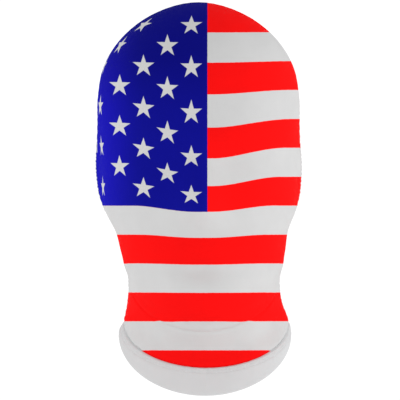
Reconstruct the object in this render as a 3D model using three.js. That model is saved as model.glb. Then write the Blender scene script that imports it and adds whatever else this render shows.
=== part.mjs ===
// A full-face mask of stretch cloth: a hood that covers the head, the face and the neck.
// It is sewn from a front and a back panel along one seam that runs over the head from side to side,
// and a turned hem finishes the neck. It is drawn as it is worn, pulled out to the form of a head.
// Millimetres, +Z up, the face towards -Y. The origin is the inside of the crown, where it sits.
import * as THREE from "three";

// Driving dimensions
const WALL = 1.2; // one layer of cloth with its seam allowance
const HEM_WALL = 2.4; // the hem is turned up on the inside, so it has two layers
const SEAM_GAP = 0.3; // the needle line between two sewn pieces
const SEAM_Y = 6; // the side seam lies in this plane
const DOME_HEIGHT = 74; // from the crown down to the temples
const DOME_TAPER = 1.1; // 1 is a quarter ellipse, and above 1 the crown is a little narrower
const HEAD_HALF_WIDTH = 78.4; // at the temples
const FOREHEAD_REACH = 101; // from the seam to the forehead
const NAPE_REACH = 92; // from the seam to the back of the head
const ROUND = 2; // the squareness of an ellipse
const TEMPLE_SQUARENESS = 2.25; // a head's plan is a little squarer than an ellipse

// Matt cloth: the panels in the red of their stripes, the hem unprinted
const STRIPE_RED = 0xf51c1c;
const HEM_WHITE = 0xd2d2d0;
const CLOTH_ROUGHNESS = 0.75;

// How finely the panels are faceted
const DOME_SECTIONS = 5;
const NO_LENGTH = 1e-6; // corners closer than this are one point, as at the crown
const FRONT_MESH = { columns: 34, rowsPerSection: 3 };
const BACK_MESH = { columns: 22, rowsPerSection: 2 };
const HEM_MESH = { columns: 60, rows: 3 };

// Sections of the outer surface below the temples. drop is the depth under the crown at the side seam,
// and dip how much lower the section runs at the front. shift is its offset to +X, because the neck
// leans. half_width, front and back are its reach from the seam, and square its squareness in plan.
const SECTIONS = [
  { name: "brow", drop: 94, dip: 0, shift: 0, half_width: 78.4, front: 104, back: 92, square: 2.3 },
  { name: "eyes", drop: 114, dip: 0, shift: 0, half_width: 77.2, front: 104, back: 91, square: 2.3 },
  { name: "cheeks", drop: 134, dip: 0, shift: 0.3, half_width: 76.3, front: 103, back: 87, square: 2.2 },
  { name: "nose_base", drop: 151, dip: 4, shift: 0.8, half_width: 76.0, front: 102, back: 82, square: 2.15 },
  { name: "mouth", drop: 164, dip: 14, shift: 1.5, half_width: 73.0, front: 102, back: 77, square: 2.1 },
  { name: "lower_lip", drop: 176, dip: 24, shift: 2.5, half_width: 67.3, front: 102, back: 73, square: 2.1 },
  { name: "chin", drop: 190, dip: 34, shift: 3.5, half_width: 64.3, front: 101, back: 69, square: 2.1 },
  { name: "jaw_line", drop: 200, dip: 39, shift: 4.0, half_width: 61.6, front: 94, back: 66, square: 2.1 },
  { name: "under_jaw", drop: 209, dip: 41, shift: 4.3, half_width: 59.5, front: 81, back: 64, square: 2.15 },
  { name: "throat", drop: 220, dip: 41, shift: 4.4, half_width: 59.0, front: 72, back: 62, square: 2.2 },
  { name: "neck", drop: 234, dip: 36, shift: 4.8, half_width: 60.2, front: 69, back: 62, square: 2.2 },
  { name: "hem_top", drop: 250, dip: 31, shift: 6.0, half_width: 64.6, front: 72, back: 65, square: 2.2 },
  { name: "hem_edge", drop: 258, dip: 44, shift: 5.0, half_width: 67.4, front: 79, back: 69, square: 2.2 },
];
const FRONT_BLEND = 0.3; // how softly a section's dip sets in past the side seam

// The soft relief of a plain face under the cloth: a bump of height out at x and drop, wide by tall.
// A bump away from the middle is made on both sides.
const FACE = [
  { name: "brow", x: 24, drop: 107, out: 3.0, wide: 26, tall: 11 },
  { name: "eye_hollow", x: 31, drop: 122, out: -3.5, wide: 18, tall: 13 },
  { name: "nose_bridge", x: 0, drop: 138, out: 7.0, wide: 14, tall: 22 },
  { name: "nose_tip", x: 0, drop: 160, out: 15.0, wide: 18, tall: 16 },
  { name: "cheekbone", x: 48, drop: 146, out: 3.0, wide: 18, tall: 16 },
  { name: "lips", x: 0, drop: 190, out: 4.0, wide: 24, tall: 11 },
  { name: "under_lip", x: 0, drop: 206, out: -2.5, wide: 22, tall: 8 },
  { name: "chin", x: 0, drop: 224, out: 3.5, wide: 22, tall: 13 },
];
const FACE_FADE = 0.5; // the relief fades out from this cosine of the angle to the side seam
const EAR = { y: 14, drop: 131, out: 4.2, wide: 16, tall: 26 };

// Sections of the dome, at even turns of a tapered quarter ellipse from the crown to the temples.
const dome = Array.from({ length: DOME_SECTIONS + 1 }, (_, k) => {
  const angle = (Math.PI / 2) * (k / DOME_SECTIONS);
  const spread = Math.sin(angle) ** DOME_TAPER;
  return {
    drop: DOME_HEIGHT * (1 - Math.cos(angle)),
    dip: 0,
    shift: 0,
    half_width: HEAD_HALF_WIDTH * spread,
    front: FOREHEAD_REACH * spread,
    back: NAPE_REACH * spread,
    square: THREE.MathUtils.lerp(ROUND, TEMPLE_SQUARENESS, k / DOME_SECTIONS),
  };
});
const rows = [...dome, ...SECTIONS];
const LAST = rows.length - 1;
const HEM_TOP = LAST - 1;

// The row before the crown is the first one below it on the far side, so the dome is smooth on top.
// The row past the hem goes on in a straight line.
function rowOrBeyond(index, column) {
  if (index < 0) {
    const across = column === "half_width" || column === "front" || column === "back";
    return across ? -rows[-index][column] : rows[-index][column];
  }
  if (index > LAST) return 2 * rows[LAST][column] - rows[LAST - 1][column];
  return rows[index][column];
}

// One column of the table at a place between its rows, on a Catmull-Rom curve.
function columnAt(place, column) {
  const k = Math.min(Math.floor(place), LAST - 1);
  const f = place - k;
  const [a, b, c, d] = [-1, 0, 1, 2].map((step) => rowOrBeyond(k + step, column));
  return b + 0.5 * f * (c - a + f * (2 * a - 5 * b + 4 * c - d + f * (3 * (b - c) + d - a)));
}

// From 0 at the side seam to 1 at the front, and a little under 0 at the back.
function frontShare(cosine) {
  const soft = (v) => v + Math.hypot(v, FRONT_BLEND) - FRONT_BLEND;
  return soft(cosine) / soft(1);
}

function bump(across, down, { wide, tall }) {
  return Math.exp(-((across / wide) ** 2) - (down / tall) ** 2);
}

// How far the face stands out at x from its middle and at a drop under the crown.
function faceRelief(x, drop) {
  return FACE.reduce((sum, mark) => {
    const down = drop - mark.drop;
    const right = bump(x - mark.x, down, mark);
    const left = mark.x === 0 ? 0 : bump(x + mark.x, down, mark);
    return sum + mark.out * (right + left);
  }, 0);
}

// A point of the outer surface. place counts the table's rows, and angle turns from the front to +X.
function surfacePoint(place, angle) {
  const [drop, dip, shift, halfWidth, front, back, square] = [
    "drop", "dip", "shift", "half_width", "front", "back", "square",
  ].map((column) => columnAt(place, column));
  const sine = Math.sin(angle);
  const cosine = Math.cos(angle);
  const reach = (Math.abs(sine) ** square + Math.abs(cosine) ** square) ** (-1 / square);
  const across = halfWidth * sine * reach;
  const level = drop + dip * frontShare(cosine);
  const y = SEAM_Y - (cosine > 0 ? front : back) * cosine * reach;
  const facing = THREE.MathUtils.smoothstep(cosine, 0, FACE_FADE);
  const ear = EAR.out * bump(y - EAR.y, level - EAR.drop, EAR) * Math.sign(sine);
  return new THREE.Vector3(
    shift + across + ear,
    y - facing * faceRelief(across, level),
    WALL - level,
  );
}

// The direction out of the cloth, square to a small step down it and a small step round it.
function surfaceNormal(place, angle) {
  const step = 0.01;
  const down = surfacePoint(Math.min(place + step, LAST), angle).sub(surfacePoint(place - step, angle));
  const round = surfacePoint(place, angle + step).sub(surfacePoint(place, angle - step));
  return down.cross(round).normalize();
}

// A closed wall over the given places and angles: the outer surface, the same surface a wall further in,
// and a rim along each open edge. The side edges of a wall that isn't closed round stay in the seam's plane.
function clothWall({ places, angles, wall, closedRound }) {
  const corners = [];
  const triangle = (...points) => {
    const [a, b, c] = points;
    const shortest = Math.min(a.distanceTo(b), b.distanceTo(c), c.distanceTo(a));
    if (shortest > NO_LENGTH) points.forEach((p) => corners.push(p.x, p.y, p.z));
  };
  const quad = (a, b, c, d) => {
    triangle(a, b, c);
    triangle(a, c, d);
  };
  const lastColumn = angles.length - 1;
  const outer = places.map((place) => angles.map((angle) => surfacePoint(place, angle)));
  const inner = places.map((place, i) =>
    angles.map((angle, j) => {
      const outward = place === 0 ? new THREE.Vector3(0, 0, 1) : surfaceNormal(place, angle);
      if (!closedRound && (j === 0 || j === lastColumn)) outward.setY(0).normalize();
      return outer[i][j].clone().addScaledVector(outward, -wall);
    }),
  );
  if (closedRound) [...outer, ...inner].forEach((row) => (row[lastColumn] = row[0]));

  for (let i = 0; i < places.length - 1; i++) {
    for (let j = 0; j < lastColumn; j++) {
      quad(outer[i][j], outer[i + 1][j], outer[i + 1][j + 1], outer[i][j + 1]);
      quad(inner[i][j], inner[i][j + 1], inner[i + 1][j + 1], inner[i + 1][j]);
    }
    if (!closedRound) {
      quad(outer[i + 1][0], outer[i][0], inner[i][0], inner[i + 1][0]);
      quad(outer[i][lastColumn], outer[i + 1][lastColumn], inner[i + 1][lastColumn], inner[i][lastColumn]);
    }
  }
  const end = places.length - 1;
  for (let j = 0; j < lastColumn; j++) {
    quad(outer[end][j + 1], outer[end][j], inner[end][j], inner[end][j + 1]);
    if (closedRound) quad(outer[0][j], outer[0][j + 1], inner[0][j + 1], inner[0][j]);
  }
  const geometry = new THREE.BufferGeometry();
  geometry.setAttribute("position", new THREE.Float32BufferAttribute(corners, 3));
  geometry.computeVertexNormals();
  return geometry;
}

function evenSteps(from, to, count) {
  return Array.from({ length: count + 1 }, (_, k) => THREE.MathUtils.lerp(from, to, k / count));
}

function cloth(color) {
  const roughness = CLOTH_ROUGHNESS;
  return new THREE.MeshStandardMaterial({ color, roughness, metalness: 0, side: THREE.DoubleSide });
}

// A panel from the crown to the hem, half a turn wide about its middle angle.
function panel(name, middle, mesh, color) {
  const quarter = Math.PI / 2;
  const geometry = clothWall({
    places: evenSteps(0, HEM_TOP, HEM_TOP * mesh.rowsPerSection),
    angles: evenSteps(middle - quarter, middle + quarter, mesh.columns),
    wall: WALL,
    closedRound: false,
  });
  const made = new THREE.Mesh(geometry, cloth(color));
  made.name = name;
  made.position.y = -Math.cos(middle) * (SEAM_GAP / 2);
  return made;
}

function neckHem(color) {
  const geometry = clothWall({
    places: evenSteps(HEM_TOP, LAST, HEM_MESH.rows),
    angles: evenSteps(0, 2 * Math.PI, HEM_MESH.columns),
    wall: HEM_WALL,
    closedRound: true,
  });
  const made = new THREE.Mesh(geometry, cloth(color));
  made.name = "neck_hem";
  made.position.z = -SEAM_GAP;
  return made;
}

const group = new THREE.Group();
group.add(
  panel("front_panel", 0, FRONT_MESH, STRIPE_RED),
  panel("back_panel", Math.PI, BACK_MESH, STRIPE_RED),
  neckHem(HEM_WHITE),
);

export default group;
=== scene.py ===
# %% [markdown]
# # A full-face mask of stretch cloth
# The mask is a hood of thin elastic knit that covers the head, the face and the neck. A front and a back
# panel are sewn together over the head from side to side, and a plain white hem is turned up round the
# neck. This lesson works the cloth out as surfaces of two numbers, prints stars and stripes on it with
# shader nodes, sews it with small modelled stitches, and lights it like a plain studio picture.
#
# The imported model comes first. It is the fixed frame: each piece below is made in metres, in its place.

# %% Load the fixed frame
import math

import bmesh
import bpy
import numpy as np
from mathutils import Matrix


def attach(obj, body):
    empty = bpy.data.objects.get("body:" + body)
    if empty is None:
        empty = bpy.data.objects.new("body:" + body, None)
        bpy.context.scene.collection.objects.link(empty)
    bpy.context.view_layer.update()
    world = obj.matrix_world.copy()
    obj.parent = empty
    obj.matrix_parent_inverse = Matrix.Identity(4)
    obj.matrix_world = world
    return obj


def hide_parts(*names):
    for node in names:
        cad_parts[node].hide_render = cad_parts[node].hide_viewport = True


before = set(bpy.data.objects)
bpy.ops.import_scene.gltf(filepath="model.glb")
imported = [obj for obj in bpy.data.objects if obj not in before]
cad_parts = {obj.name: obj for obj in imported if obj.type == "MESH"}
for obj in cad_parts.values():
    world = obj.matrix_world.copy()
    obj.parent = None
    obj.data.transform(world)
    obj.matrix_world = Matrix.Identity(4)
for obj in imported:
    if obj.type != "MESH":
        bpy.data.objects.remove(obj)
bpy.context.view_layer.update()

# %% [markdown]
# ## The form of the stretched hood
# Stretch cloth has no form of its own: it takes the form of the head inside it. So the surface is a stack
# of level sections, each a slightly squared ellipse. A sculpted mesh could do the same, but a table of
# sections keeps the cloth and the solids of the frame on one shape. The dome above the temples needs no
# table, because its sections are steps of a quarter ellipse.

# %% Sections from the crown to the hem
MM = 0.001
WALL = 1.2 * MM
SEAM_Y = 6 * MM
DOME_HEIGHT = 74
DOME_TAPER = 1.1
DOME_SECTIONS = 5
HEAD_HALF_WIDTH = 78.4
FOREHEAD_REACH = 101
NAPE_REACH = 92
ROUND, TEMPLE_SQUARENESS = 2, 2.25

# Millimetres: drop under the crown at the seam, extra dip at the front, shift to +X, half width,
# reach to the front and to the back of the seam. Then squareness in plan.
SECTIONS = np.array([
    (94, 0, 0.0, 78.4, 104, 92, 2.30),  # brow
    (114, 0, 0.0, 77.2, 104, 91, 2.30),  # eyes
    (134, 0, 0.3, 76.3, 103, 87, 2.20),  # cheeks
    (151, 4, 0.8, 76.0, 102, 82, 2.15),  # base of the nose
    (164, 14, 1.5, 73.0, 102, 77, 2.10),  # mouth
    (176, 24, 2.5, 67.3, 102, 73, 2.10),  # lower lip
    (190, 34, 3.5, 64.3, 101, 69, 2.10),  # chin
    (200, 39, 4.0, 61.6, 94, 66, 2.10),  # jaw line
    (209, 41, 4.3, 59.5, 81, 64, 2.15),  # under the jaw
    (220, 41, 4.4, 59.0, 72, 62, 2.20),  # throat
    (234, 36, 4.8, 60.2, 69, 62, 2.20),  # neck
    (250, 31, 6.0, 64.6, 72, 65, 2.20),  # top of the hem
    (258, 44, 5.0, 67.4, 79, 69, 2.20),  # edge of the hem
])
TO_METRES = np.array([MM] * 6 + [1])


def dome_sections():
    """Even turns of a quarter ellipse: the drop follows the cosine, and the reach the sine, raised to the
    taper so that the crown is a little narrower."""
    turn = np.linspace(0, math.pi / 2, DOME_SECTIONS + 1)
    spread = np.sin(turn) ** DOME_TAPER
    none = np.zeros_like(turn)
    drop = DOME_HEIGHT * (1 - np.cos(turn))
    reaches = [HEAD_HALF_WIDTH * spread, FOREHEAD_REACH * spread, NAPE_REACH * spread]
    square = np.linspace(ROUND, TEMPLE_SQUARENESS, DOME_SECTIONS + 1)
    return np.stack([drop, none, none, *reaches, square], axis=1)


rows = np.concatenate([dome_sections(), SECTIONS]) * TO_METRES
LAST = len(rows) - 1
HEM_TOP = LAST - 1
print(len(rows), "sections from the crown to the hem's edge")

# %% [markdown]
# ### A smooth curve through the table
# Between two sections, every column follows a Catmull-Rom curve, which passes through its points and needs
# one more row at each end. Before the crown that is the first row on its far side, where the three reaches
# are negative, so the dome is smooth on top. Past the hem the table goes on in a straight line.

# %% Curve through the sections
FAR_SIDE = np.array([1, 1, 1, -1, -1, -1, 1])
table = np.vstack([rows[1] * FAR_SIDE, rows, 2 * rows[-1] - rows[-2]])


def sections_at(place):
    """All columns of the table at a place between its rows, on a Catmull-Rom curve through the rows."""
    k = np.clip(np.floor(place).astype(int), 0, LAST - 1)
    f = (place - k)[..., None]
    a, b, c, d = (table[k + step] for step in range(4))
    return b + 0.5 * f * (c - a + f * (2 * a - 5 * b + 4 * c - d + f * (3 * (b - c) + d - a)))


print("halfway down the dome:", sections_at(np.array(DOME_SECTIONS / 2)).round(4))

# %% [markdown]
# ## The soft relief of a plain face
# Under tight cloth a face is only a set of low, round swellings, because the cloth bridges every hollow.
# Each one is a bump that falls off like a bell curve, on the proportions of a drawing book: the eyes half
# way down the head, the base of the nose and the mouth at thirds below them.

# %% Face and ears
# Millimetres: x from the middle, drop, height, half width, half length
FACE = np.array([
    (24, 107, 3.0, 26, 11),  # brow
    (31, 122, -3.5, 18, 13),  # hollow of the eye
    (0, 138, 7.0, 14, 22),  # bridge of the nose
    (0, 160, 15.0, 18, 16),  # tip of the nose
    (48, 146, 3.0, 18, 16),  # cheekbone
    (0, 190, 4.0, 24, 11),  # lips
    (0, 206, -2.5, 22, 8),  # under the lips
    (0, 224, 3.5, 22, 13),  # chin
]) * MM
EAR_Y, EAR_DROP, EAR_OUT, EAR_WIDE, EAR_TALL = np.array([14, 131, 4.2, 16, 26]) * MM


def bell(across, down, wide, tall):
    """A bell curve in two directions: 1 in the middle, e to the minus 1 at its half width."""
    return np.exp(-((across / wide) ** 2) - (down / tall) ** 2)


def face_relief(x, level):
    """Sum of the table's bells, each repeated on the other side of the middle."""
    height = np.zeros(np.broadcast(x, level).shape)
    for middle, drop, out, wide, tall in FACE:
        height += out * bell(x - middle, level - drop, wide, tall)
        if middle > 0:
            height += out * bell(x + middle, level - drop, wide, tall)
    return height


print("nose stands out by", face_relief(np.array(0.0), np.array(160 * MM)), "m")

# %% [markdown]
# ### Points and normals of the hood
# Two numbers name a point: its place down the table, and its turn from the front. Lower sections dip towards
# the front, because the cloth runs from the nape down to the throat. The normal comes from two small steps,
# which is simpler than a formula and as good at this size.

# %% Surface of the hood
FACE_FADE, FRONT_BLEND = 0.5, 0.3
SMALL_STEP, NEAR_CROWN = 0.004, 0.02


def smoothstep(value, low, high):
    """Rises from 0 at low to 1 at high, level at both ends."""
    t = np.clip((value - low) / (high - low), 0, 1)
    return t * t * (3 - 2 * t)


def front_share(cosine):
    """From 0 at the side seam to 1 at the front, bent softly so that the back stays nearly level."""
    def bent(v):
        return v + np.hypot(v, FRONT_BLEND) - FRONT_BLEND
    return bent(cosine) / bent(1)


def hood_surface(place, angle):
    """Points of the hood. place runs down the table, and angle turns from the front to +X. A section is
    the squared ellipse |x/a|^n + |y/b|^n = 1, lowered towards the front by its dip, with the face's
    relief added towards -Y and the ears' towards the sides."""
    drop, dip, shift, half_width, front, back, square = np.moveaxis(sections_at(place), -1, 0)
    sine, cosine = np.sin(angle), np.cos(angle)
    reach = (np.abs(sine) ** square + np.abs(cosine) ** square) ** (-1 / square)
    across = half_width * sine * reach
    level = drop + dip * front_share(cosine)
    y = SEAM_Y - np.where(cosine > 0, front, back) * cosine * reach
    ear = EAR_OUT * bell(y - EAR_Y, level - EAR_DROP, EAR_WIDE, EAR_TALL) * np.sign(sine)
    forward = smoothstep(cosine, 0, FACE_FADE) * face_relief(across, level)
    return np.stack([shift + across + ear, y - forward, WALL - level], axis=-1)


def unit(vectors):
    """The vectors at length 1."""
    return vectors / np.linalg.norm(vectors, axis=-1, keepdims=True)


def outward(place, angle):
    """Unit normals: the cross product of a small step down the cloth and a small step round it. At the
    crown's very point it is straight up."""
    at = np.clip(place, NEAR_CROWN, LAST - SMALL_STEP)
    down = hood_surface(at + SMALL_STEP, angle) - hood_surface(at - SMALL_STEP, angle)
    round_it = hood_surface(at, angle + SMALL_STEP) - hood_surface(at, angle - SMALL_STEP)
    normal = unit(np.cross(down, round_it))
    normal[np.broadcast_to(place, normal.shape[:-1]) < SMALL_STEP] = (0, 0, 1)
    return normal


seam_ends = hood_surface(np.array(HEM_TOP), np.array([-1, 1]) * math.pi / 2)
print("neck is", np.ptp(seam_ends[:, 0]), "m wide at the top of the hem")

# %% [markdown]
# ## Folds
# Tight cloth is smooth, but below the jaw it slackens into a few soft folds, and a narrow crease runs where
# it leaves the jaw for the throat. Cloth simulation could find such folds, but not at chosen places. So they
# are heights along the normal, worked out for the whole grid at once: real geometry that shows from every
# side.

# %% Heights of folds
NECK_RADIUS = 65 * MM
SECTION_TALL = 13 * MM
JAW_PLACE, JAW_DEPTH, JAW_WIDE = 14.4, 0.9 * MM, 1.5 * MM
JAW_LIP, JAW_LIP_WIDE = 0.5 * MM, 4 * MM
JAW_FADE = (0.1, 0.5)

# Degrees from the front, millimetres of drop, tilt in degrees, then height, half length and half width
FOLDS = [
    (63, 197, 24, 0.9, 30, 5),  # below the ear towards the chin
    (68, 211, 20, -0.8, 26, 4),
    (-61, 198, -24, 0.8, 30, 5),
    (-67, 212, -20, -0.8, 26, 4),
    (76, 241, 8, 1.1, 17, 5),  # the slack over the hem
    (34, 262, 12, 0.5, 26, 5),
    (-36, 259, -13, 0.5, 28, 5),
    (180, 172, 0, 0.7, 40, 5),  # the nape
    (176, 188, 3, -0.6, 36, 5),
    (184, 204, -2, 0.6, 34, 5),
]


def turn_apart(angle, middle):
    """The smallest turn from one angle to another, in radians."""
    return (angle - middle + math.pi) % (2 * math.pi) - math.pi


def fold_height(angle, level):
    """Sum of long bells, each turned by its tilt on the unrolled neck."""
    height = np.zeros(np.broadcast(angle, level).shape)
    for degrees, drop, tilt, out, long, wide in FOLDS:
        round_it = turn_apart(angle, math.radians(degrees)) * NECK_RADIUS
        down = level - drop * MM
        c, s = math.cos(math.radians(tilt)), math.sin(math.radians(tilt))
        height += out * MM * bell(c * round_it + s * down, c * down - s * round_it, long * MM, wide * MM)
    return height


def fades(distance, reach):
    """1 at no distance, falling off like a bell curve."""
    return np.exp(-((distance / reach) ** 2))


def jaw_crease(place, angle):
    """A narrow crease with a soft lip above it, fading out towards the sides."""
    below = (place - JAW_PLACE) * SECTION_TALL
    crease = JAW_LIP * fades(below + JAW_LIP_WIDE, JAW_LIP_WIDE) - JAW_DEPTH * fades(below, JAW_WIDE)
    return crease * smoothstep(np.cos(angle), *JAW_FADE)


print(len(FOLDS), "folds and one crease")

# %% [markdown]
# ## Seam grooves and puckers
# Where cloth is sewn, the thread pulls it into a narrow groove and gathers it in small, uneven puckers. An
# uneven wave is a sine whose turns are drawn together and apart by a slower one. Round the neck the counts
# are multiples of the drift, so that the wave closes.

# %% Heights along the seams
SEAM_DEPTH, SEAM_WIDE = 1.4 * MM, 1.1 * MM
SEAM_PUCKER, SEAM_PUCKER_WIDE = 0.16 * MM, 6 * MM
PUCKERS_PER_SECTION = 3.4
HEM_PUCKER, HEM_PUCKER_TALL = 0.12 * MM, 9 * MM
HEM_WAVES = [(45, 1.0), (72, 0.6)]  # puckers round the neck, and their share
WAVE_DRIFT, WAVE_UNEVEN = 9, 1.6


def uneven_wave(turn):
    """Sine of a turn that is itself pushed to and fro by a slower sine."""
    return np.sin(turn + WAVE_UNEVEN * np.sin(turn / WAVE_DRIFT))


def hem_puckers(angle, from_hem):
    """Uneven waves round the neck that fade away from the hem's seam."""
    wave = sum(share * uneven_wave(count * angle) for count, share in HEM_WAVES)
    return HEM_PUCKER * wave * fades(from_hem, HEM_PUCKER_TALL)


def cloth_height(points, place, angle):
    """Folds, the jaw's crease, a groove and puckers along the side seam, and the same along the hem."""
    from_seam = np.abs(points[..., 1] - SEAM_Y)
    from_hem = np.abs(HEM_TOP - place) * SECTION_TALL
    groove = np.minimum(fades(from_seam, SEAM_WIDE) + fades(from_hem, SEAM_WIDE), 1)
    seam_wave = uneven_wave(2 * math.pi * PUCKERS_PER_SECTION * place)
    seam_puckers = SEAM_PUCKER * seam_wave * fades(from_seam, SEAM_PUCKER_WIDE)
    folds = fold_height(angle, WALL - points[..., 2]) + jaw_crease(place, angle)
    return folds - SEAM_DEPTH * groove + seam_puckers + hem_puckers(angle, from_hem)


print("seams are sunk by", SEAM_DEPTH, "m")

# %% [markdown]
# ## One grid for the whole hood
# Both panels come from one grid, cut at the side seam, so they meet exactly. Rows are spread by the length
# of the cloth, measured down one line between the face's middle and its side, rather than by the table.
# Rows and columns crowd together towards the seams, where the grooves and puckers need them.

# %% Grid of the hood
ROWS = 216
FRONT_COLUMNS = 204
BACK_QUARTER_COLUMNS = 78
CROWDING = 0.6
FINE_STEPS = 800
MEASURED_AT = math.radians(40)


def crowded(t):
    """Even steps up to 1, or from -1 to 1, drawn together where they end."""
    return (1 - CROWDING) * t + CROWDING * np.sin(math.pi / 2 * t)


def run_along(points):
    """Length of the way along a line of points, from its start to each of them."""
    return np.concatenate([[0], np.cumsum(np.linalg.norm(np.diff(points, axis=0), axis=1))])


fine_place = np.linspace(0, HEM_TOP, FINE_STEPS)
run_down = run_along(hood_surface(fine_place, np.full(FINE_STEPS, MEASURED_AT)))
row_place = np.interp(run_down[-1] * crowded(np.linspace(0, 1, ROWS + 1)), run_down, fine_place)
quarter = math.pi / 2 * crowded(np.linspace(0, 1, BACK_QUARTER_COLUMNS + 1))
column_angle = np.concatenate([
    quarter[:-1] - math.pi,
    math.pi / 2 * crowded(np.linspace(-1, 1, FRONT_COLUMNS + 1)),
    math.pi - quarter[-2::-1],
])
place, angle = np.meshgrid(row_place, column_angle, indexing="ij")
plain = hood_surface(place, angle)
normals = outward(place, angle)
cloth = plain + normals * cloth_height(plain, place, angle)[..., None]
print("hood grid of", cloth.shape[0], "rows and", cloth.shape[1], "columns")

# %% [markdown]
# ## Where the print lies on the cloth
# The print was made on flat cloth and then pulled over the head. Seen from the front it still looks flat,
# so on the face its two numbers are those of a flat picture, seen from a point straight in front. Round the
# sides it follows the cloth instead, or it would smear. Over the middle of the face the cloth is drawn
# down, so the stripes sag there. The numbers are metres of flag, and go into a UV map of that name.

# %% Print coordinates
CAMERA_FAR = 2.6
EYE = np.array([1.17 * MM, SEAM_Y - CAMERA_FAR, -152.9 * MM])
SAG_DROP, SAG_TALL, SAG_X = np.array([123, 55, 3.7]) * MM
SAG_LEVELS = np.array([90, 180]) * MM
SAG_HALF_WIDTHS = np.array([39, 28]) * MM
SAG_SOFT = 0.8


def seen_flat(points):
    """Where the lines from the eye through the front's points meet the seam's plane. The back stays."""
    share = (SEAM_Y - EYE[1]) / (np.minimum(points[..., 1:2], SEAM_Y) - EYE[1])
    return EYE + (points - EYE) * share


def print_across(points, slack):
    """Metres of print across a panel, from its middle column: each step round the panel counts its change
    of x as seen flat, or a fixed share of its length where that is more."""
    along_x = np.diff(seen_flat(points)[..., 0], axis=1)
    length = np.linalg.norm(np.diff(points, axis=1), axis=-1)
    counted = np.maximum(np.abs(along_x), slack * length)
    run = np.concatenate([np.zeros((len(points), 1)), np.cumsum(counted, axis=1)], axis=1)
    middle = points.shape[1] // 2
    direction = np.sign(points[-1, -1, 0] - points[-1, 0, 0])
    return points[:, middle:middle + 1, 0] + direction * (run - run[:, middle:middle + 1])


def print_down(points, sag):
    """Metres of print below the crown: the drop as seen flat, less the sag over the middle of the face,
    which is a bell curve downwards and a smooth step to both sides."""
    flat = seen_flat(points)
    level = WALL - flat[..., 2]
    half = np.interp(level, SAG_LEVELS, SAG_HALF_WIDTHS)
    aside = np.abs(flat[..., 0] - SAG_X)
    sideways = 1 - smoothstep(aside, (1 - SAG_SOFT) * half, (1 + SAG_SOFT) * half)
    return level - sag * fades(level - SAG_DROP, SAG_TALL) * sideways


print("print is seen from", EYE)

# %% [markdown]
# ### Stars in their own planes
# A flat star pulled round the side of a head is drawn out like a comet. So each star is also laid out in
# the plane that touches the cloth at its middle, and the two are mixed: flat where the cloth faces the
# front, and mostly true where the print is drawn out far. Every face belongs to its nearest star, and a UV
# map named star holds the place of its corners from that star's middle. A star whose middle is past the
# seam is left out.

# %% Star map
STAR_ROWS, STAR_COLUMNS = 9, 4
STAR_PITCH_ACROSS, STAR_PITCH_DOWN = 18.64 * MM, 15.79 * MM
STAR_ACROSS, STAR_DOWN = -5.6 * MM, 17.5 * MM
ON_THE_CLOTH = 2 * MM
PLANE_SHARE = 0.7


def star_middles():
    """Places of the stars on the print: rows a pitch apart, with every other row set one pitch aside."""
    row, column = np.meshgrid(np.arange(STAR_ROWS), np.arange(STAR_COLUMNS), indexing="ij")
    across = STAR_ACROSS - STAR_PITCH_ACROSS * (2 * column + row % 2)
    return np.stack([across, STAR_DOWN + STAR_PITCH_DOWN * row], axis=-1).reshape(-1, 2)


def steps_of(values):
    """A matrix at each grid point: the change of the values for one column and for one row."""
    both = np.stack([np.gradient(values, axis=1), np.gradient(values, axis=0)], axis=-1)
    return both.reshape(-1, *both.shape[-2:])


def star_planes(points, flag):
    """For every star on this cloth: its place on the print, its point, the unit vectors to its right and
    upwards in its plane, and how far the print is drawn out there. The plane's slope is the cloth's steps
    times the inverse of the print's steps, at the grid point nearest to the star."""
    middles, printed = star_middles(), flag.reshape(-1, 2)
    apart = np.linalg.norm(printed - middles[:, None], axis=-1)
    there = apart.min(axis=1) < ON_THE_CLOTH
    middles, nearest = middles[there], apart.argmin(axis=1)[there]
    slope = steps_of(points)[nearest] @ np.linalg.inv(steps_of(flag)[nearest])
    right, down = unit(slope[..., 0]), slope[..., 1]
    up = unit(right * np.sum(right * down, axis=-1, keepdims=True) - down)
    beside = (middles - printed[nearest])[..., None]
    point = points.reshape(-1, 3)[nearest] + (slope @ beside)[..., 0]
    return middles, point, np.stack([right, up], axis=-1), np.linalg.norm(slope, ord=2, axis=(1, 2))


def star_map(points, flag, faces, drawn):
    """Metres to the right of the nearest star's middle and above it, for each corner of each face: the
    distances on the print, mixed with those in the star's plane. The plane's share rises between the two
    stretches given by drawn."""
    middles, point, axes, stretch = star_planes(points, flag)
    printed = flag.reshape(-1, 2)[faces]
    star = np.linalg.norm(printed.mean(axis=1)[:, None] - middles, axis=-1).argmin(axis=1)
    true = (points.reshape(-1, 3)[faces] - point[star, None]) @ axes[star]
    flat = (printed - middles[star, None]) * (1, -1)
    share = PLANE_SHARE * smoothstep(stretch, *drawn)
    return flat + share[star, None, None] * (true - flat)


print(len(star_middles()), "places for stars")

# %% [markdown]
# ## From a grid to a mesh
# A grid of points needs only its corner numbers to become quads. UV maps are set for each corner of each
# face. The crown's many points, and the start and end of a closed band, are then welded by merging doubles.
# The cloth's thickness is a Solidify modifier, which also gives the inside its own material.

# %% Meshes from grids
WELD = 1e-6


def grid_faces(rows_count, columns_count):
    """Corner numbers of each quad of a grid, counter-clockwise as seen from outside the hood."""
    index = np.arange(rows_count * columns_count).reshape(rows_count, columns_count)
    corners = [index[:-1, :-1], index[1:, :-1], index[1:, 1:], index[:-1, 1:]]
    return np.stack(corners, axis=-1).reshape(-1, 4)


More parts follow.
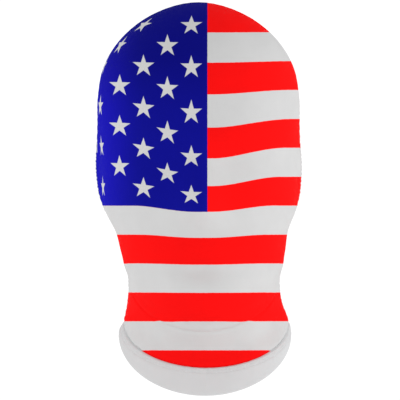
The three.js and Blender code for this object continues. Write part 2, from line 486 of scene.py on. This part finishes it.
def mesh_piece(name, points, faces, **maps):
    """A smooth mesh object of the points and faces, with UV maps by name, doubles welded, riding on the one
    body. A map has a pair of numbers for each corner of each face."""
    mesh = bpy.data.meshes.new(name)
    mesh.from_pydata(points.reshape(-1, 3), [], faces)
    for map_name, values in maps.items():
        mesh.uv_layers.new(name=map_name).data.foreach_set("uv", values.ravel())
    shaped = bmesh.new()
    shaped.from_mesh(mesh)
    bmesh.ops.remove_doubles(shaped, verts=shaped.verts, dist=WELD)
    shaped.to_mesh(mesh)
    shaped.free()
    mesh.shade_smooth()
    piece = bpy.data.objects.new(name, mesh)
    bpy.context.scene.collection.objects.link(piece)
    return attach(piece, "root")


def thicken(piece, thickness):
    """A cloth wall that grows inwards, with the second material on the inside and the first on the rim."""
    wall = piece.modifiers.new("cloth", "SOLIDIFY")
    wall.thickness = thickness
    wall.offset = -1
    wall.material_offset = 1


print("a grid of 3 by 3 points has", len(grid_faces(3, 3)), "faces")

# %% [markdown]
# ## Two panels of cloth
# Each panel is cut from its own printed piece, so the print starts again at the middle of its own panel. On
# the front it keeps to the flat picture and sags over the face. On the back it follows the cloth all round.

# %% Front and back panel
PANEL_THICK = 0.9 * MM
FRONT_SLACK, BACK_SLACK = 0.42, 0.85
FRONT_DRAWN, BACK_DRAWN = (1.7, 2.5), (0.9, 1.0)
FRONT_SAG, BACK_SAG = 8.3 * MM, 0
first, last = BACK_QUARTER_COLUMNS, BACK_QUARTER_COLUMNS + FRONT_COLUMNS
front_columns = np.arange(first, last + 1)
back_columns = np.concatenate([np.arange(last, cloth.shape[1]), np.arange(0, first + 1)])


def panel(name, columns, slack, drawn, sag):
    """One panel: the given columns of the hood's grid, with maps of its print, its stars and its knit. The
    knit's map is the length along the cloth, across and down."""
    points = plain[:, columns]
    faces = grid_faces(*points.shape[:2])
    flag = np.stack([print_across(points, slack), print_down(points, sag)], axis=-1)
    down = np.interp(place[:, columns], fine_place, run_down)
    knit_place = np.stack([print_across(points, 1), down], axis=-1)
    piece = mesh_piece(
        name,
        cloth[:, columns],
        faces,
        flag=flag.reshape(-1, 2)[faces],
        star=star_map(points, flag, faces, drawn),
        knit=knit_place.reshape(-1, 2)[faces],
    )
    thicken(piece, PANEL_THICK)
    print(name, "has", len(piece.data.polygons), "faces and is", np.ptp(flag[..., 0]), "m of print wide")
    return piece


printed_front = panel("printed_front", front_columns, FRONT_SLACK, FRONT_DRAWN, FRONT_SAG)
printed_back = panel("printed_back", back_columns, BACK_SLACK, BACK_DRAWN, BACK_SAG)

# %% [markdown]
# ## The turned hem
# The neck edge is a strip of plain white cloth folded over on itself. Its profile goes down the outside,
# round the fold and up the inside. That profile, measured in distance down the band and distance in from
# the surface, is carried once round the neck.

# %% Hem band
HEM_LAYER = 0.5 * MM
FOLD_RADIUS = 0.8 * MM
HEM_SWELL, HEM_FULLNESS = 0.3 * MM, 0.7
HEM_STITCH_ROWS = (2.8 * MM, 5.0 * MM)
STITCH_SINK, STITCH_SINK_WIDE = 0.3 * MM, 0.8 * MM
HEM_COLUMNS = 420
FACE_STEPS, FOLD_STEPS = 46, 8
INNER_END = 0.1


def hem_width(around):
    """Distance from the top of the hem to its edge, at each angle."""
    top = hood_surface(np.full_like(around, HEM_TOP), around)
    edge_line = hood_surface(np.full_like(around, LAST), around)
    return np.linalg.norm(edge_line - top, axis=-1)


def hem_height(points, share, around):
    """Height of the hem's outer face: it swells between its seam and its fold, sinks under its stitches,
    and shares the groove, folds and puckers of the panels at its top."""
    down = share * hem_width(around)
    swell = HEM_SWELL * np.sin(math.pi * np.clip(share, 0, 1)) ** HEM_FULLNESS
    folds = fold_height(around, WALL - points[..., 2])
    sunk = sum(STITCH_SINK * fades(down - row, STITCH_SINK_WIDE) for row in HEM_STITCH_ROWS)
    return swell + folds - sunk - SEAM_DEPTH * fades(down, SEAM_WIDE) + hem_puckers(around, down)


def hem_band():
    """Grid of the folded strip, with its place in the knit: outer face, half circle of the fold, inner face
    a fold's diameter further in."""
    around = np.linspace(0, 2 * math.pi, HEM_COLUMNS + 1)[None, :]
    fold_share = FOLD_RADIUS / hem_width(around)
    bend = np.linspace(0, math.pi, FOLD_STEPS + 2)[1:-1, None]
    share = np.concatenate([
        np.linspace(0, 1, FACE_STEPS)[:, None] * (1 - fold_share),
        1 - fold_share + np.sin(bend) * fold_share,
        np.linspace(1, INNER_END, FACE_STEPS)[:, None] * (1 - fold_share),
    ])
    inward = np.concatenate([np.zeros(FACE_STEPS), 1 - np.cos(bend[:, 0]), np.full(FACE_STEPS, 2.0)])
    around = np.broadcast_to(around, share.shape)
    points = hood_surface(HEM_TOP + share, around)
    height = hem_height(points, share, around) - FOLD_RADIUS * inward[:, None]
    points = points + outward(HEM_TOP + share, around) * height[..., None]
    knit_place = np.stack([around * NECK_RADIUS, share * hem_width(around)], axis=-1)
    return points, knit_place


hem_points, hem_knit = hem_band()
hem_faces = grid_faces(*hem_points.shape[:2])
hem_strip = mesh_piece("hem_strip", hem_points, hem_faces, knit=hem_knit.reshape(-1, 2)[hem_faces])
thicken(hem_strip, HEM_LAYER)
print("hem strip has", len(hem_strip.data.polygons), "faces")

# %% [markdown]
# ## Stitches
# A twin needle leaves two rows of short threads along the hem, and two along the back of the side seam,
# where they hold down the seam allowance. One stitch is a small bead that is long, thin and a little arched.
# A UV map named twist holds the way along its thread and the turn round it. All stitches of a seam are one
# mesh: the bead's grid is added to every stitch's own place, direction and normal in a single array.

# %% Stitch rows
STITCH_LONG, STITCH_THICK, STITCH_PITCH = 2.1 * MM, 0.23 * MM, 2.9 * MM
STITCH_BLUNT, STITCH_ARCH, STITCH_BED = 0.6, 0.9, 0.5
BEAD_ALONG, BEAD_ROUND = 7, 6


def picked(values, at):
    """Vectors of a list at fractional positions, on straight lines between its entries."""
    return np.stack([np.interp(at, np.arange(len(values)), column) for column in values.T], axis=1)


def bead_grid():
    """One stitch in metres ahead, aside and out of the cloth, with its twist map: along the stitch by a
    cosine, across it by a circle that closes at both ends, and out by an arch. The arch and the bed that
    the stitch sinks into are shares of its thickness."""
    along, turn = np.linspace(0, math.pi, BEAD_ALONG), np.linspace(0, 2 * math.pi, BEAD_ROUND + 1)
    s, t = np.meshgrid(along, turn, indexing="ij")
    radius = STITCH_THICK * np.sin(s) ** STITCH_BLUNT
    ahead = -STITCH_LONG / 2 * np.cos(s)
    out = radius * np.sin(t) + STITCH_THICK * (STITCH_ARCH * np.sin(s) - STITCH_BED)
    return np.stack([ahead, radius * np.cos(t), out], axis=-1), np.stack([ahead, t / (2 * math.pi)], axis=-1)


def stitches_on(bead, path, path_normals):
    """Points of beads along a path, evenly apart, each laid along the path and out of the cloth."""
    run = run_along(path)
    count = int(run[-1] / STITCH_PITCH)
    at = np.interp((np.arange(count) + 0.5) * run[-1] / count, run, np.arange(len(path)))
    centre, out = picked(path, at), unit(picked(path_normals, at))
    ahead = unit(picked(np.gradient(path, axis=0), at))
    axes = np.stack([ahead, np.cross(out, ahead), out], axis=1)
    return centre[:, None, None] + np.einsum("abk,nkx->nabx", bead, axes)


def stitch_piece(name, paths):
    """One joined mesh of all the beads on the given paths, each bead a closed grid with its twist map."""
    bead, twist = bead_grid()
    beads = np.concatenate([stitches_on(bead, *path) for path in paths])
    one = grid_faces(*bead.shape[:2])
    first_corner = np.arange(len(beads))[:, None, None] * len(bead.reshape(-1, 3))
    twists = np.tile(twist.reshape(-1, 2)[one], (len(beads), 1, 1))
    print(len(beads), "stitches in", name)
    return mesh_piece(name, beads, (one + first_corner).reshape(-1, 4), twist=twists)


print("a stitch is", STITCH_LONG, "m long, one every", STITCH_PITCH, "m")

# %% [markdown]
# ### Along the hem
# Both rows run a set distance below the hem's top, on its outer face, which is sunk under them. So the path
# asks the hem for its own height, and the thread lies in the cloth instead of hovering over it.

# %% Stitches of the hem
HEM_PATH_STEPS = 900


def hem_path(down):
    """A closed path on the outer face of the hem, a set distance below its top, with its normals."""
    around = np.linspace(0, 2 * math.pi, HEM_PATH_STEPS)
    share = down / hem_width(around)
    points = hood_surface(HEM_TOP + share, around)
    normal = outward(HEM_TOP + share, around)
    return points + normal * hem_height(points, share, around)[:, None], normal


hem_stitches = stitch_piece("hem_stitches", [hem_path(down) for down in HEM_STITCH_ROWS])

# %% [markdown]
# ### Beside the side seam
# These rows lie on the back panel, a set distance behind the seam, and go up one side, over the crown and
# down the other. The squared ellipse gives the turn at that distance directly, so no search is needed.

# %% Stitches beside the seam
SEAM_STITCH_ROWS = (2.0 * MM, 4.4 * MM)
SEAM_STITCH_END = 0.12
BACK_COLUMN, SQUARE_COLUMN = 5, 6
SEAM_PATH_STEPS = 500


def seam_path(off):
    """A path on the back panel from one end of the seam over the crown to the other, with its normals. At
    each level the share of the back's reach gives the turn: with it as the cosine's side of the squared
    ellipse, the sine's side is (1 - share^n)^(1/n)."""
    dome_place = fine_place[fine_place < DOME_SECTIONS]
    highest = np.interp(off, sections_at(dome_place)[:, BACK_COLUMN], dome_place)
    down = highest + (HEM_TOP - SEAM_STITCH_END - highest) * np.linspace(0, 1, SEAM_PATH_STEPS) ** 2
    section = sections_at(down)
    square = section[:, SQUARE_COLUMN]
    share = np.minimum(off / section[:, BACK_COLUMN], 1)
    lean = np.arctan2((1 - share ** square) ** (1 / square), share)
    at = np.concatenate([down[::-1], down[1:]])
    around = math.pi + np.concatenate([-lean[::-1], lean[1:]])
    points = hood_surface(at, around)
    normal = outward(at, around)
    return points + normal * cloth_height(points, at, around)[:, None], normal


seam_stitches = stitch_piece("seam_stitches", [seam_path(off) for off in SEAM_STITCH_ROWS])

# %% [markdown]
# ## Small helpers for shader nodes
# A pattern made of arithmetic takes many Math nodes. These helpers add one node each, link or set its
# inputs, and return its output, so that a formula reads nearly like a formula.

# %% Helpers for nodes
def feed(tree, socket, value):
    """Links an output to a socket, or sets a number, a vector or a colour on it."""
    if isinstance(value, bpy.types.NodeSocket):
        tree.links.new(value, socket)
    elif socket.type == "RGBA":
        socket.default_value = (*value, 1)
    else:
        socket.default_value = value


def maths(tree, operation, *values, clamp=False):
    """The output of a Math node."""
    node = tree.nodes.new("ShaderNodeMath")
    node.operation = operation
    node.use_clamp = clamp
    for socket, value in zip(node.inputs, values):
        feed(tree, socket, value)
    return node.outputs[0]


def parts_of(tree, vector):
    """The three numbers of a vector."""
    node = tree.nodes.new("ShaderNodeSeparateXYZ")
    tree.links.new(vector, node.inputs[0])
    return node.outputs


def mixed(tree, share, first_colour, second_colour):
    """A colour between two. The node's colours are its inputs 6 and 7 and its output 2."""
    node = tree.nodes.new("ShaderNodeMix")
    node.data_type = "RGBA"
    feed(tree, node.inputs[0], share)
    feed(tree, node.inputs[6], first_colour)
    feed(tree, node.inputs[7], second_colour)
    return node.outputs[2]


def scaled(tree, colour, factor):
    """A colour times a number."""
    node = tree.nodes.new("ShaderNodeVectorMath")
    node.operation = "SCALE"
    feed(tree, node.inputs[0], colour)
    feed(tree, node.inputs["Scale"], factor)
    return node.outputs[0]


def eased(tree, value, low, high, first_result, second_result):
    """Goes smoothly from the first result to the second while a value goes from low to high."""
    node = tree.nodes.new("ShaderNodeMapRange")
    node.interpolation_type = "SMOOTHSTEP"
    for socket, number in zip(node.inputs, (value, low, high, first_result, second_result)):
        feed(tree, socket, number)
    return node.outputs[0]


def noise(tree, vector, scale, detail):
    """The value of a noise texture at a vector, about 0.5 in the middle."""
    node = tree.nodes.new("ShaderNodeTexNoise")
    node.inputs["Scale"].default_value = scale
    node.inputs["Detail"].default_value = detail
    tree.links.new(vector, node.inputs["Vector"])
    return node.outputs["Fac"]


def new_group(name, inputs, outputs):
    """A shader node group with named vector inputs and number outputs, and the sockets of its end nodes."""
    tree = bpy.data.node_groups.new(name, "ShaderNodeTree")
    for label in inputs:
        tree.interface.new_socket(label, in_out="INPUT", socket_type="NodeSocketVector")
    for label in outputs:
        tree.interface.new_socket(label, in_out="OUTPUT", socket_type="NodeSocketFloat")
    return tree, tree.nodes.new("NodeGroupInput").outputs, tree.nodes.new("NodeGroupOutput").inputs


print("node helpers ready")

# %% [markdown]
# ## The print as shader nodes
# The flag is drawn by arithmetic on the print's maps, so it stays sharp at any size. A stripe is a triangle
# wave cut at half height. A star is one edge line, repeated by folding the angle round its middle into a
# wedge. The group gives out only masks, because the cloth's two sides mix different colours.

# %% Masks of the flag
STRIPE = 22.56 * MM
FLAG_TOP = 0.6 * MM
FIRST_STRIPE = 0.3
FIELD_STRIPES = 7
FIELD_EDGE = 7.0 * MM
STAR_POINTS, STAR_RADIUS, STAR_NOTCH = 5, 8.75 * MM, 0.382
INK_SOFT = 0.3 * MM
INK_WANDER, WANDER_SCALE = 0.35 * MM, 320


def edge(tree, distance, softness):
    """1 where a distance is well above zero, 0 well below it, and a straight ramp between."""
    return maths(tree, "MULTIPLY_ADD", distance, 1 / softness, 0.5, clamp=True)


def stripe_mask(tree, stripe):
    """1 on every other stripe, from the first: a triangle wave two stripes long, cut at half height."""
    turn = maths(tree, "FLOORED_MODULO", maths(tree, "ADD", stripe, 0.5), 2)
    wave = maths(tree, "ABSOLUTE", maths(tree, "SUBTRACT", turn, 1))
    return edge(tree, maths(tree, "SUBTRACT", 0.5, wave), INK_SOFT / STRIPE)


def star_mask(tree, x, y):
    """1 inside a five-pointed star. The angle round its middle is folded into a wedge from a tip to a notch,
    and the distance from the line between the two is measured square to it."""
    wedge = math.pi / STAR_POINTS
    notch_x = STAR_RADIUS * STAR_NOTCH * math.sin(wedge)
    notch_y = STAR_RADIUS * STAR_NOTCH * math.cos(wedge)
    line = math.hypot(STAR_RADIUS - notch_y, notch_x)
    radius = maths(tree, "SQRT", maths(tree, "MULTIPLY_ADD", x, x, maths(tree, "MULTIPLY", y, y)))
    folded = maths(tree, "ABSOLUTE", maths(tree, "WRAP", maths(tree, "ARCTAN2", x, y), wedge, -wedge))
    across = maths(tree, "MULTIPLY", radius, maths(tree, "SINE", folded))
    along = maths(tree, "MULTIPLY", radius, maths(tree, "COSINE", folded))
    past_tip = maths(tree, "SUBTRACT", along, STAR_RADIUS)
    sideways = maths(tree, "MULTIPLY", across, (notch_y - STAR_RADIUS) / line)
    return edge(tree, maths(tree, "MULTIPLY_ADD", past_tip, -notch_x / line, sideways), INK_SOFT)


def flag_group():
    """Masks of the red stripes, the blue field and the white stars, from the print's maps. A fine noise
    lets the ink's edges wander a little, and above the print's top the first stripe goes on."""
    tree, given, result = new_group("flag print", ["Flag", "From star"], ["Red", "Field", "Star"])
    aside = maths(tree, "SUBTRACT", noise(tree, given["Flag"], WANDER_SCALE, 2), 0.5)
    maps = (*parts_of(tree, given["Flag"])[:2], *parts_of(tree, given["From star"])[:2])
    across, down, star_x, star_y = (maths(tree, "MULTIPLY_ADD", aside, INK_WANDER, value) for value in maps)
    stripe = maths(tree, "DIVIDE", maths(tree, "SUBTRACT", down, FLAG_TOP), STRIPE)
    stripe = maths(tree, "MAXIMUM", stripe, FIRST_STRIPE)
    above = edge(tree, maths(tree, "SUBTRACT", FIELD_STRIPES, stripe), INK_SOFT / STRIPE)
    beside = edge(tree, maths(tree, "SUBTRACT", FIELD_EDGE, across), INK_SOFT)
    tree.links.new(stripe_mask(tree, stripe), result["Red"])
    tree.links.new(maths(tree, "MULTIPLY", above, beside), result["Field"])
    tree.links.new(star_mask(tree, star_x, star_y), result["Star"])
    return tree


flag_masks = flag_group()
print("flag group of", len(flag_masks.nodes), "nodes")

# %% [markdown]
# ## Knit
# Close up, stretch cloth is a knit: columns of small loops that show as fine ribs, each broken by a chevron.
# Two sine waves, one across and one down with a lean that follows the rib, are enough for its height. A
# slow noise makes the cloth's tone and its roughness a little uneven.

# %% Knit height, tone and roughness
RIB_WIDE, LOOP_TALL = 0.7 * MM, 0.8 * MM
LOOP_LEAN, LOOP_SHARE = 0.35, 0.3
UNEVEN_SCALE = 45
TONE_LEAST, TONE_RANGE = 0.95, 0.10
ROUGH_LEAST, ROUGH_RANGE = 0.72, 0.16


def knit_group():
    """Height of the knit: a rib wave across, plus loops down that lean to the rib's middle. Its tone, a
    factor near 1, and its roughness follow a slow noise."""
    tree, given, result = new_group("knit", ["Knit"], ["Height", "Tone", "Roughness"])
    across, down, _ = parts_of(tree, given["Knit"])
    rib = maths(tree, "ABSOLUTE", maths(tree, "SINE", maths(tree, "MULTIPLY", across, math.pi / RIB_WIDE)))
    leaning = maths(tree, "MULTIPLY_ADD", rib, LOOP_LEAN * LOOP_TALL, down)
    loop = maths(tree, "SINE", maths(tree, "MULTIPLY", leaning, 2 * math.pi / LOOP_TALL))
    slow = noise(tree, given["Knit"], UNEVEN_SCALE, 3)
    tree.links.new(maths(tree, "MULTIPLY_ADD", loop, LOOP_SHARE, rib), result["Height"])
    tree.links.new(maths(tree, "MULTIPLY_ADD", slow, TONE_RANGE, TONE_LEAST), result["Tone"])
    tree.links.new(maths(tree, "MULTIPLY_ADD", slow, ROUGH_RANGE, ROUGH_LEAST), result["Roughness"])
    return tree


knit = knit_group()
print("knit group of", len(knit.nodes), "nodes")

# %% [markdown]
# ## A matt, knitted surface
# Every material starts as a matt shader. A low specular level keeps the white surroundings from veiling the
# red and the blue. The knit goes in as a bump of its real depth, and its tone scales the cloth's colour.

# %% Parts of a cloth material
SPECULAR = 0.01
KNIT_DEPTH, KNIT_STRENGTH = 0.12 * MM, 0.5


def matt_material(name):
    """A material with a matt shader, with its tree and its shader."""
    material = bpy.data.materials.new(name)
    material.use_nodes = True
    shader = material.node_tree.nodes["Principled BSDF"]
    shader.inputs["Specular IOR Level"].default_value = SPECULAR
    return material, material.node_tree, shader


def map_of(tree, name):
    """The vector of a named UV map."""
    node = tree.nodes.new("ShaderNodeUVMap")
    node.uv_map = name
    return node.outputs[0]


def grouped(tree, group, *values):
    """A node group's outputs, with its inputs linked in their order."""
    node = tree.nodes.new("ShaderNodeGroup")
    node.node_tree = group
    for socket, value in zip(node.inputs, values):
        tree.links.new(value, socket)
    return node.outputs


def bumped(tree, shader, height, depth, strength):
    """A height into the shader's normal, through a Bump node of a depth in metres."""
    bump = tree.nodes.new("ShaderNodeBump")
    bump.inputs["Strength"].default_value = strength
    bump.inputs["Distance"].default_value = depth
    tree.links.new(height, bump.inputs["Height"])
    tree.links.new(bump.outputs[0], shader.inputs["Normal"])


def knitted(tree, shader, colour):
    """Feeds a shader from the knit: its height to the normal, its roughness to the roughness, and the given
    colour times its tone to the colour."""
    knit_out = grouped(tree, knit, map_of(tree, "knit"))
    bumped(tree, shader, knit_out["Height"], KNIT_DEPTH, KNIT_STRENGTH)
    tree.links.new(knit_out["Roughness"], shader.inputs["Roughness"])
    tree.links.new(scaled(tree, colour, knit_out["Tone"]), shader.inputs["Base Color"])


print("matt cloth with a specular level of", SPECULAR)

# %% [markdown]
# ## Four materials
# The printed cloth is white knit with ink on it. The blue is painted lighter towards the sides and darker
# towards the crown: painted light at the sides and painted shade above. The inside is the same knit,
# where the ink only shows through faintly. The hem is unprinted. The thread is a little brighter than the
# cloth and twisted of a few plies, which are a wave that climbs round it.

# %% Cloth and thread
# The hem's white is a little lighter than the printed white: partly its own cloth, partly painted light that
# lifts the shade on the hem.
WHITE, HEM_WHITE_WITH_PAINTED_LIFT = (0.60, 0.60, 0.60), (0.615, 0.62, 0.625)
RED = (0.92, 0.006, 0.006)
# Painted light and shade: the blue is mixed lighter towards the sides and darker towards the crown.
DEEP_BLUE = (0.0050, 0.0055, 0.24)
SIDE_BLUE_WITH_PAINTED_LIGHT = (0.008, 0.006, 0.40)
PAINTED_SIDE_LIGHT_SPAN = (40 * MM, 78 * MM)
PAINTED_SHADE_HEIGHTS, PAINTED_SHADE_FACTORS = (-100 * MM, -40 * MM), (1.06, 0.80)
INK_OUTSIDE, INK_THROUGH = 1.0, 0.16
THREAD_WHITE, THREAD_ROUGHNESS = (0.72, 0.72, 0.72), 0.6
PLIES, PLY_PITCH = 3, 0.9 * MM
PLY_DEPTH, PLY_STRENGTH = 0.06 * MM, 0.7
PLY_GROOVE_SHADE_LEAST, PLY_GROOVE_SHADE_RANGE = 0.82, 0.18


def blue_ink_with_painted_light(tree):
    """Blue ink with painted light and shade: it turns to a lighter side colour by the distance from the
    middle, and is painted darker towards the crown by the height.
    """
    x, _, z = parts_of(tree, tree.nodes.new("ShaderNodeTexCoord").outputs["Object"])
    painted_side_light = eased(tree, maths(tree, "ABSOLUTE", x), *PAINTED_SIDE_LIGHT_SPAN, 0, 1)
    painted_light_by_height = eased(tree, z, *PAINTED_SHADE_HEIGHTS, *PAINTED_SHADE_FACTORS)
    return scaled(tree, mixed(tree, painted_side_light, DEEP_BLUE, SIDE_BLUE_WITH_PAINTED_LIGHT), painted_light_by_height)


def printed_material(name, ink):
    """White knit with the flag on it. ink is how much of the print's colour shows."""
    material, tree, shader = matt_material(name)
    masks = grouped(tree, flag_masks, map_of(tree, "flag"), map_of(tree, "star"))
    starred = mixed(tree, masks["Star"], blue_ink_with_painted_light(tree), WHITE)
    striped = mixed(tree, masks["Red"], WHITE, RED)
    flag_colour = mixed(tree, masks["Field"], striped, starred)
    knitted(tree, shader, mixed(tree, ink, WHITE, flag_colour))
    return material


def hem_material():
    """White knit alone, a little lighter than the printed white, partly as painted light on the hem."""
    material, tree, shader = matt_material("hem cloth")
    knitted(tree, shader, HEM_WHITE_WITH_PAINTED_LIFT)
    return material


def thread_material():
    """Twisted thread. Its height is the size of a sine that makes half a turn for each ply round the thread
    and for each pitch along it, and its colour follows the height: painted shade in the grooves between
    plies."""
    material, tree, shader = matt_material("thread")
    along, turn, _ = parts_of(tree, map_of(tree, "twist"))
    climb = maths(tree, "MULTIPLY_ADD", along, 1 / PLY_PITCH, maths(tree, "MULTIPLY", turn, PLIES))
    ply = maths(tree, "ABSOLUTE", maths(tree, "SINE", maths(tree, "MULTIPLY", climb, math.pi)))
    bumped(tree, shader, ply, PLY_DEPTH, PLY_STRENGTH)
    # Painted shade: the thread is darker where its height is low, in the grooves between the plies.
    tone = maths(tree, "MULTIPLY_ADD", ply, PLY_GROOVE_SHADE_RANGE, PLY_GROOVE_SHADE_LEAST)
    tree.links.new(scaled(tree, THREAD_WHITE, tone), shader.inputs["Base Color"])
    shader.inputs["Roughness"].default_value = THREAD_ROUGHNESS
    return material


printed_outside = printed_material("printed cloth", INK_OUTSIDE)
printed_inside = printed_material("reverse of the print", INK_THROUGH)
hem_white = hem_material()
thread = thread_material()

for piece, materials in (
    (printed_front, (printed_outside, printed_inside)),
    (printed_back, (printed_outside, printed_inside)),
    (hem_strip, (hem_white, hem_white)),
    (hem_stitches, (thread,)),
    (seam_stitches, (thread,)),
):
    for material in materials:
        piece.data.materials.append(material)
    print(piece.name, "is made of", ", ".join(material.name for material in materials))

# %% [markdown]
# Each visual piece takes the place of its solid, which is hidden. The cut cloth is stretched by about a
# third in area when it is worn.

# %% Hide the solids
for piece, node, sewn_with in (
    (printed_front, "front_panel", []),
    (printed_back, "back_panel", [seam_stitches]),
    (hem_strip, "neck_hem", [hem_stitches]),
):
    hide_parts(node)

# %% [markdown]
# ## Studio floor
# The picture is a plain catalogue shot with white all round. The floor is a pale disc below the hood. It is
# small enough to stay out of the front view, and glows a little so that it isn't grey from above.

# %% Floor
FLOOR_Z, FLOOR_RADIUS, FLOOR_SIDES = -0.42, 0.9, 96
FLOOR_WHITE, FLOOR_ROUGHNESS, FLOOR_GLOW = (0.93, 0.93, 0.93, 1), 0.9, 0.2
floor_turn = np.linspace(0, 2 * math.pi, FLOOR_SIDES, endpoint=False)
floor_ring = FLOOR_RADIUS * np.stack([np.cos(floor_turn), np.sin(floor_turn)], axis=1)
floor_points = np.column_stack([floor_ring, np.full(FLOOR_SIDES, FLOOR_Z)])
floor_mesh = bpy.data.meshes.new("floor")
floor_mesh.from_pydata(floor_points, [], [range(FLOOR_SIDES)])
floor = bpy.data.objects.new("floor", floor_mesh)
bpy.context.scene.collection.objects.link(floor)
floor_paint, _, floor_shader = matt_material("floor paint")
floor_shader.inputs["Roughness"].default_value = FLOOR_ROUGHNESS
floor_shader.inputs["Base Color"].default_value = FLOOR_WHITE
floor_shader.inputs["Emission Color"].default_value = FLOOR_WHITE
floor_shader.inputs["Emission Strength"].default_value = FLOOR_GLOW
floor_mesh.materials.append(floor_paint)
print("floor at", FLOOR_Z, "m")

# %% [markdown]
# ## Studio light
# There is hardly a shadow, and the sides are a little brighter than the middle. So the world is white, two
# large lamps stand at the sides, and a weak one beside the camera gives the face its form. The world looks
# brighter to the camera than it shines, so that the background is pure white.

# %% World and lamps
SOFT_LIGHT, SEEN_WHITE = 0.77, 1.08
HEAD_MIDDLE = np.array([0, 0, -0.14])

# Name, place, width, height, power in watts
LAMPS = [
    ("left side", (-1.2, 0.25, -0.05), 0.9, 1.4, 6.0),
    ("right side", (1.2, 0.25, -0.05), 0.9, 1.4, 6.0),
    ("beside the camera", (0.45, -1.5, 0.05), 1.2, 0.8, 5.0),
]

world = bpy.data.worlds.new("white studio")
world.use_nodes = True
world_tree = world.node_tree
background = world_tree.nodes["Background"]
background.inputs["Color"].default_value = (1, 1, 1, 1)
seen = world_tree.nodes.new("ShaderNodeLightPath").outputs["Is Camera Ray"]
strength = maths(world_tree, "MULTIPLY_ADD", seen, SEEN_WHITE - SOFT_LIGHT, SOFT_LIGHT)
world_tree.links.new(strength, background.inputs["Strength"])
bpy.context.scene.world = world


def aimed_turn(location, target):
    """Euler angles that turn a lamp's own -Z from its place to a point: tipped up from straight down by the
    slope of the way there, then turned about Z by its heading."""
    x, y, z = np.subtract(target, location)
    return math.pi / 2 + math.atan2(z, math.hypot(x, y)), 0, math.atan2(-x, y)


for name, location, width, height, power in LAMPS:
    lamp = bpy.data.lights.new(name, "AREA")
    lamp.shape = "RECTANGLE"
    lamp.size, lamp.size_y = width, height
    lamp.energy = power
    stand = bpy.data.objects.new(name, lamp)
    stand.location = location
    stand.rotation_euler = aimed_turn(location, HEAD_MIDDLE)
    bpy.context.scene.collection.objects.link(stand)
    print("lamp", name, "of", power, "W")

# %% [markdown]
# ## Camera
# The camera stands where the print is seen flat from: far away and straight in front, with a long lens. The
# lens follows from how wide the picture is at the seam's plane. The Standard view keeps the print's colours.

# %% Camera
PICTURE_WIDE = 0.312
SENSOR = 36
camera_data = bpy.data.cameras.new("camera")
camera_data.sensor_width = SENSOR
camera_data.lens = SENSOR * CAMERA_FAR / PICTURE_WIDE
camera = bpy.data.objects.new("camera", camera_data)
camera.location = EYE
camera.rotation_euler = (math.pi / 2, 0, 0)
bpy.context.scene.collection.objects.link(camera)
bpy.context.scene.camera = camera
bpy.context.scene.view_settings.view_transform = "Standard"
print("lens of", camera_data.lens, "mm")
